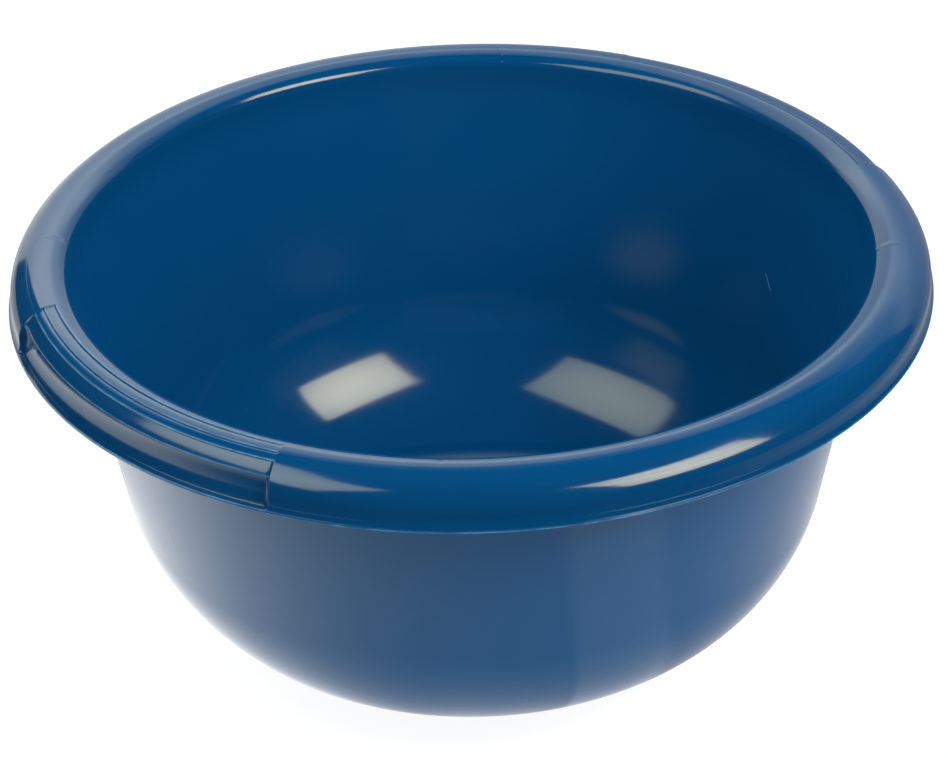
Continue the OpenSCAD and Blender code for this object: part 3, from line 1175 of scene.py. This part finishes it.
# A value led through a curve, given by its points
def curveNode(tree, value, points):
    node = addNode(tree, "ShaderNodeFloatCurve")
    curve = node.mapping.curves[0].points
    low, high = points[0][0], points[-1][0]
    top = max(y for x, y in points)
    curve[0].location = (0, points[0][1] / top)
    curve[-1].location = (1, points[-1][1] / top)
    for x, y in points[1:-1]:
        curve.new((x - low) / (high - low), y / top)
    node.mapping.update()
    tree.links.new(rangeNode(tree, value, low, high, kind="LINEAR"), node.inputs["Value"])
    return mathNode(tree, "MULTIPLY", node.outputs[0], top)


def makeWorld():
    world = bpy.data.worlds.new("studioWorld")
    bpy.context.scene.world = world
    world.use_nodes = True
    tree = world.node_tree
    back = tree.nodes["Background"].inputs
    direction = addNode(tree, "ShaderNodeTexCoord").outputs["Generated"]
    _, _, (behind,) = sideways(tree, direction, studio["backAngle"])
    soft = rangeNode(tree, rangeNode(tree, behind, 0.0, 0.9), 0.0, 1.0, *studio["fill"], "LINEAR")
    rays = addNode(tree, "ShaderNodeLightPath").outputs
    seen = mathNode(tree, "MAXIMUM", rays["Is Glossy Ray"], rays["Is Transmission Ray"])
    level = chosen(tree, seen, soft, studio["room"])
    tree.links.new(chosen(tree, rays["Is Camera Ray"], level, 1.0), back["Strength"])
    back["Color"].default_value = (1, 1, 1, 1)


# A sheet of paper by its corners in pairs, whose material is still to be made
def flatSheet(name, corners):
    mesh = bpy.data.meshes.new(name)
    faces = [(k, k + 1, k + 3, k + 2) for k in range(0, len(corners) - 2, 2)]
    mesh.from_pydata(corners, [], faces)
    made = addObject(name, mesh)
    paper = bpy.data.materials.new(name + "Paper")
    paper.use_nodes = True
    paper.node_tree.nodes.remove(paper.node_tree.nodes["Principled BSDF"])
    mesh.materials.append(paper)
    return made, paper.node_tree


def glowing(tree, strength):
    return addNode(tree, "ShaderNodeEmission", {"Strength": strength}).outputs[0]


# Lit paper that also gives some light of its own
def litPaper(tree, grey, strength):
    paper = addNode(tree, "ShaderNodeBsdfDiffuse", {"Color": (grey, grey, grey, 1)}).outputs[0]
    return addNode(tree, "ShaderNodeAddShader", {0: paper, 1: glowing(tree, strength)}).outputs[0]


def showShader(tree, shader):
    tree.links.new(shader, tree.nodes["Material Output"].inputs["Surface"])


# White paper. What the gloss sees of it is bright on the left and behind, and ends in the dark room
def makeFloor():
    reach = floor["size"] / 2
    _, tree = flatSheet("sweep", [(x, y, 0) for y in (-reach, reach) for x in (-reach, reach)])
    calc, within = partial(mathNode, tree), partial(rangeNode, tree)
    turns = [math.radians(angle) for angle in floor["directions"].values()]
    _, away, shares = sideways(tree, objectPlace(tree), *turns)
    to = dict(zip(floor["directions"], shares))
    level = curveNode(tree, to["left"], floor["byLeft"])
    ahead, beside = within(away, *floor["ahead"]), curveNode(tree, away, floor["beside"])
    falls = chosen(tree, within(to["right"], *floor["besideFrom"]), ahead, beside)
    held = chosen(tree, within(to["back"], *floor["backFrom"]), falls, 1.0)
    lane = calc("MULTIPLY", *(within(to[key], *floor[key]) for key in ("laneLeft", "laneRight")))
    sides = calc("MULTIPLY", *(within(to["left"], *values) for values in floor["footSides"]))
    near = calc("MULTIPLY", within(away, *floor["foot"]), sides)
    level = calc("ADD", calc("MULTIPLY_ADD", level, near, level), lane)
    rays = addNode(tree, "ShaderNodeLightPath").outputs
    shader = litPaper(tree, floor["paper"], within(away, *floor["lift"]))
    for ray, other in (
        ("Is Glossy Ray", glowing(tree, calc("MULTIPLY", level, held))),
        ("Is Camera Ray", litPaper(tree, floor["shownPaper"], floor["shownGlow"])),
    ):
        inputs = {0: rays[ray], 1: shader, 2: other}
        shader = addNode(tree, "ShaderNodeMixShader", inputs).outputs[0]
    showShader(tree, shader)


# The white paper behind the bowl, which only the gloss and the soft light see
def makePanel():
    ahead = directionAt(studio["backAngle"], 0)
    across = directionAt(studio["backAngle"] + quarter, 0)
    corners = [
        ahead * distance + across * side + Vector((0, 0, height))
        for distance, height in panel["line"] for side in panel["sides"]]
    made, tree = flatSheet("backPaper", corners)
    made.visible_camera = False
    made.visible_shadow = False
    calc = partial(mathNode, tree)
    (x, y, z), _, _ = sideways(tree, objectPlace(tree))
    side = calc("MULTIPLY_ADD", x, across.x, calc("MULTIPLY", y, across.y))
    low, high = (curveNode(tree, side, panel[key]) for key in ("lowAcross", "highAcross"))
    level = chosen(tree, rangeNode(tree, z, *panel["highFrom"]), low, high)
    rise = curveNode(tree, z, panel["upwards"])
    showShader(tree, glowing(tree, calc("MULTIPLY", level, rise)))


makeCamera()
makeWorld()
makePanel()
makeFloor()
for boxName, boxValues in studio["boxes"].items():
    softBox(boxName, **boxValues)
bpy.context.scene.view_settings.view_transform = "Standard"
print("studio set")
